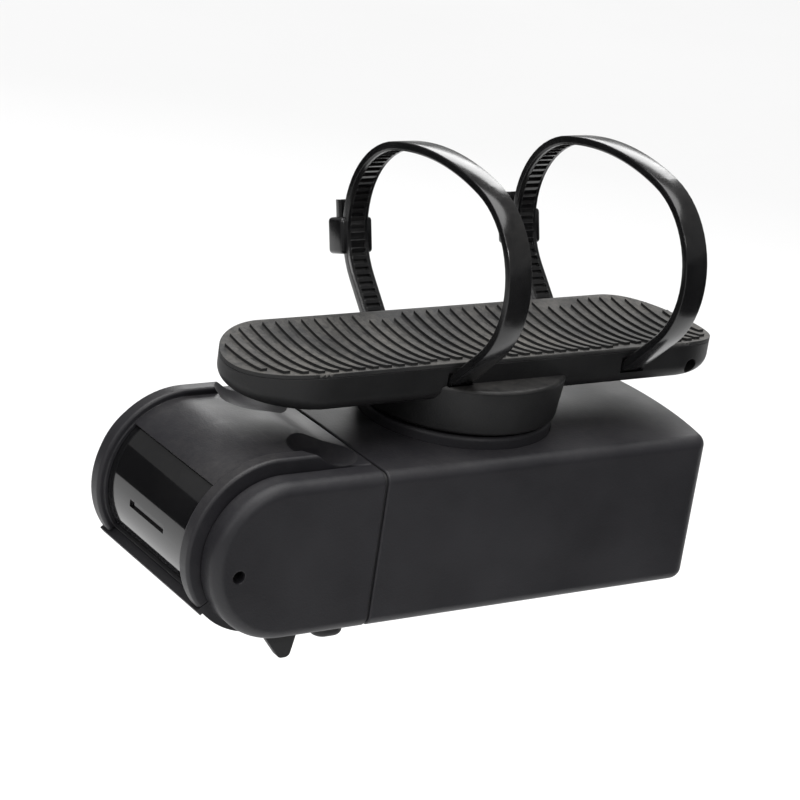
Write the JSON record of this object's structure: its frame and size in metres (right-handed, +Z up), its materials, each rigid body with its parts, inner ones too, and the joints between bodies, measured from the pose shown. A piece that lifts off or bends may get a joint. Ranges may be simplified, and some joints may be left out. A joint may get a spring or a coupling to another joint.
{
  "type": "cycling computer",
  "caption": "Screenless cycling computer with a rounded nose and black front window, hung under a bicycle's top tube from a cable-tied quarter-turn mount.",
  "frame": {"origin": "on the axis of the bicycle tube that the mount fits, straight above the axis of the quarter-turn mount", "axes": "+X along the tube to the front of the bicycle and the nose, +Y to the bicycle's left, +Z up"},
  "size_m": [0.0872, 0.0414, 0.0627],
  "materials": {
    "case_plastic": "moulded dark grey glass-filled plastic with a fine spark texture",
    "mount_plastic": "moulded black nylon, slightly polished by handling",
    "tie_nylon": "black nylon, glossy",
    "window_black": "black polished window, infrared clear",
    "rubber_black": "black silicone rubber, matte",
    "foam_grey": "closed-cell foam",
    "steel": "stainless steel, turned",
    "brass_insert": "knurled brass",
    "battery_foil": "laminated foil pouch",
    "board_green": "solder mask over fibreglass",
    "chip_black": "moulded epoxy",
    "shield_tin": "tinned sheet",
    "antenna_ceramic": "sintered ceramic",
    "flex_amber": "polyimide film",
    "lens_glass": "coated glass",
    "led_white": "phosphor under clear resin",
    "connector_cream": "moulded nylon",
    "lead_red": "silicone insulation"
  },
  "bodies": {
    "mount": {"cable_tie_front": "tie_nylon", "cable_tie_rear": "tie_nylon", "mount_saddle": "mount_plastic", "saddle_pad": "rubber_black", "saddle_inserts": "brass_insert", "mount_hub": "mount_plastic", "hub_screws": "steel"},
    "unit": {"lock_ring": "case_plastic", "lock_ring_screws": "steel", "lock_seal": "rubber_black", "rear_case": "case_plastic", "seam_gasket": "rubber_black", "nose_case": "case_plastic", "case_screws": "steel", "nose_cover": "case_plastic", "front_window": "window_black", "window_gasket": "foam_grey", "cover_pins": "steel", "dome_switch": "chip_black", "flap_pin": "steel", "charge_socket": "steel", "io_board": "board_green", "io_screws": "steel", "sensor_bracket": "steel", "sensor_board": "board_green", "sensor_housing": "chip_black", "sensor_lens": "lens_glass", "status_led": "led_white", "sensor_flex": "flex_amber", "main_board": "board_green", "rf_shield": "shield_tin", "antenna": "antenna_ceramic", "board_chips": "chip_black", "buzzer": "chip_black", "battery_cell": "battery_foil", "battery_foam": "foam_grey", "battery_connector": "connector_cream", "battery_leads": "lead_red"},
    "flap": {"port_flap": "rubber_black"},
    "button": {"power_button": "rubber_black", "button_seal": "rubber_black"}
  },
  "joints": [
    {"name": "unit_twist", "type": "hinge", "parent": "mount", "child": "unit", "pos_m": [0, 0, -0.0214], "axis": [0, 0, 1], "range_deg": [0, 90]},
    {"name": "flap_swing", "type": "hinge", "parent": "unit", "child": "flap", "pos_m": [0.0323, -0.0022, -0.0439], "axis": [-1, 0, 0], "range_deg": [0, 100]},
    {"name": "button_press", "type": "slide", "parent": "unit", "child": "button", "axis": [0, 0, 1], "range_m": [0, 0.0006], "stiffness_N_per_m": 2500}
  ]
}
